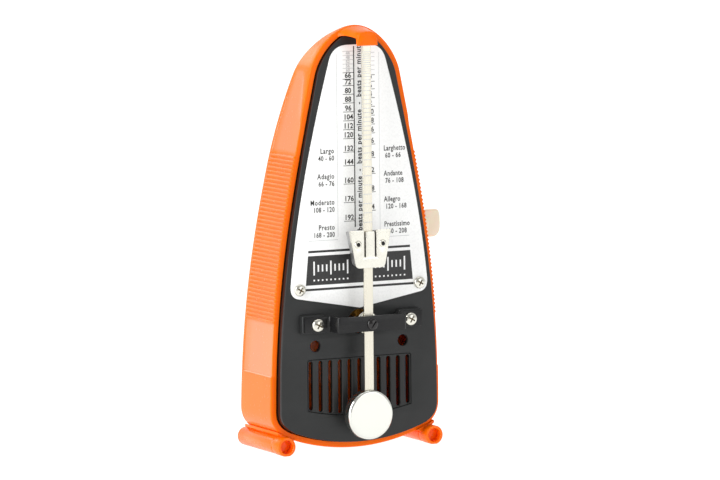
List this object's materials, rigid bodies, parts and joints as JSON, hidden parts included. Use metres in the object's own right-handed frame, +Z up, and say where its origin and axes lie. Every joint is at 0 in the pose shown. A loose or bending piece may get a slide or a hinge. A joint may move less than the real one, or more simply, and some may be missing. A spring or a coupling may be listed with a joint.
{
  "type": "pendulum metronome",
  "caption": "Small wind-up pendulum metronome with a tapered plastic case, front panel, scale plate, swinging rod, sliding weight, round bob and side winding key.",
  "frame": {"origin": "middle of the bounding box, on the surface the foot tubes stand on", "axes": "+Z up, -Y out of the front panel, +X towards the winding key"},
  "size_m": [0.0776, 0.0476, 0.1601],
  "materials": {
    "orange_plastic": "glossy moulded plastic, saturated orange",
    "black_plastic": "satin moulded plastic, charcoal",
    "white_sheet": "thin sheet, white lacquer with black print",
    "black_steel": "blackened steel, semi-gloss",
    "nickel": "bright nickel plate",
    "bright_steel": "bright drawn steel",
    "spring_steel": "blued spring strip",
    "grey_alloy": "as cast, lightly tumbled",
    "brass": "stamped brass, satin",
    "ivory_plastic": "satin moulded plastic, ivory"
  },
  "bodies": {
    "root": {"case_housing": "orange_plastic", "left_foot_tube": "orange_plastic", "right_foot_tube": "orange_plastic", "pendulum_catch": "orange_plastic", "front_panel": "black_plastic", "scale_plate": "white_sheet", "pivot_bracket": "black_steel", "pivot_screw": "black_steel", "left_plate_screw": "nickel", "right_plate_screw": "nickel", "left_bracket_screw": "nickel", "right_bracket_screw": "nickel", "left_movement_plate": "brass", "right_movement_plate": "brass", "movement_pillar_1": "brass", "movement_pillar_2": "brass", "movement_pillar_3": "brass", "movement_pillar_4": "brass", "rear_bridge": "brass", "click_screw": "bright_steel", "click_spring": "spring_steel"},
    "pendulum": {"pendulum_rod": "bright_steel", "pendulum_hub": "nickel", "pendulum_arbor": "bright_steel", "pendulum_bob": "nickel", "bob_pin": "nickel", "front_pallet": "bright_steel", "rear_pallet": "bright_steel"},
    "weight": {"weight_plate": "nickel", "weight_block": "grey_alloy", "weight_spring": "spring_steel", "left_weight_rivet": "nickel", "right_weight_rivet": "nickel"},
    "key": {"winding_key": "ivory_plastic", "winding_arbor": "bright_steel", "ratchet_wheel": "brass"},
    "barrel": {"spring_barrel": "brass", "barrel_cover": "brass", "mainspring": "spring_steel"},
    "intermediate": {"intermediate_arbor": "bright_steel", "intermediate_wheel": "brass"},
    "escape": {"escape_arbor": "bright_steel", "escape_wheel": "brass"},
    "click": {"click": "bright_steel"}
  },
  "joints": [
    {"name": "pendulum_swing", "type": "hinge", "parent": "root", "child": "pendulum", "pos_m": [-0.00325, -0.01165, 0.04885], "axis": [0, 1, 0], "range_deg": [-25, 25]},
    {"name": "weight_slide", "type": "slide", "parent": "pendulum", "child": "weight", "axis": [0, 0, 1], "range_m": [0, 0.066]},
    {"name": "key_turn", "type": "hinge", "parent": "root", "child": "key", "pos_m": [-0.00325, 0.00335, 0.0825], "axis": [1, 0, 0], "continuous": true},
    {"name": "barrel_turn", "type": "hinge", "parent": "root", "child": "barrel", "pos_m": [-0.00325, 0.00335, 0.0825], "axis": [1, 0, 0], "continuous": true},
    {"name": "intermediate_turn", "type": "hinge", "parent": "root", "child": "intermediate", "pos_m": [-0.00325, 0.00147, 0.07166], "axis": [1, 0, 0], "continuous": true},
    {"name": "escape_turn", "type": "hinge", "parent": "root", "child": "escape", "pos_m": [-0.00325, 0.00335, 0.06235], "axis": [1, 0, 0], "continuous": true},
    {"name": "click_lift", "type": "hinge", "parent": "root", "child": "click", "pos_m": [-0.00325, 0.00985, 0.0876], "axis": [-1, 0, 0], "range_deg": [0, 20], "stiffness_Nm_per_rad": 0.0005, "springref_deg": -8.59}
  ],
  "couplings": [
    {"joint": "intermediate_turn", "follows": "barrel_turn", "ratio": -4.5},
    {"joint": "escape_turn", "follows": "barrel_turn", "ratio": 16.875}
  ]
}
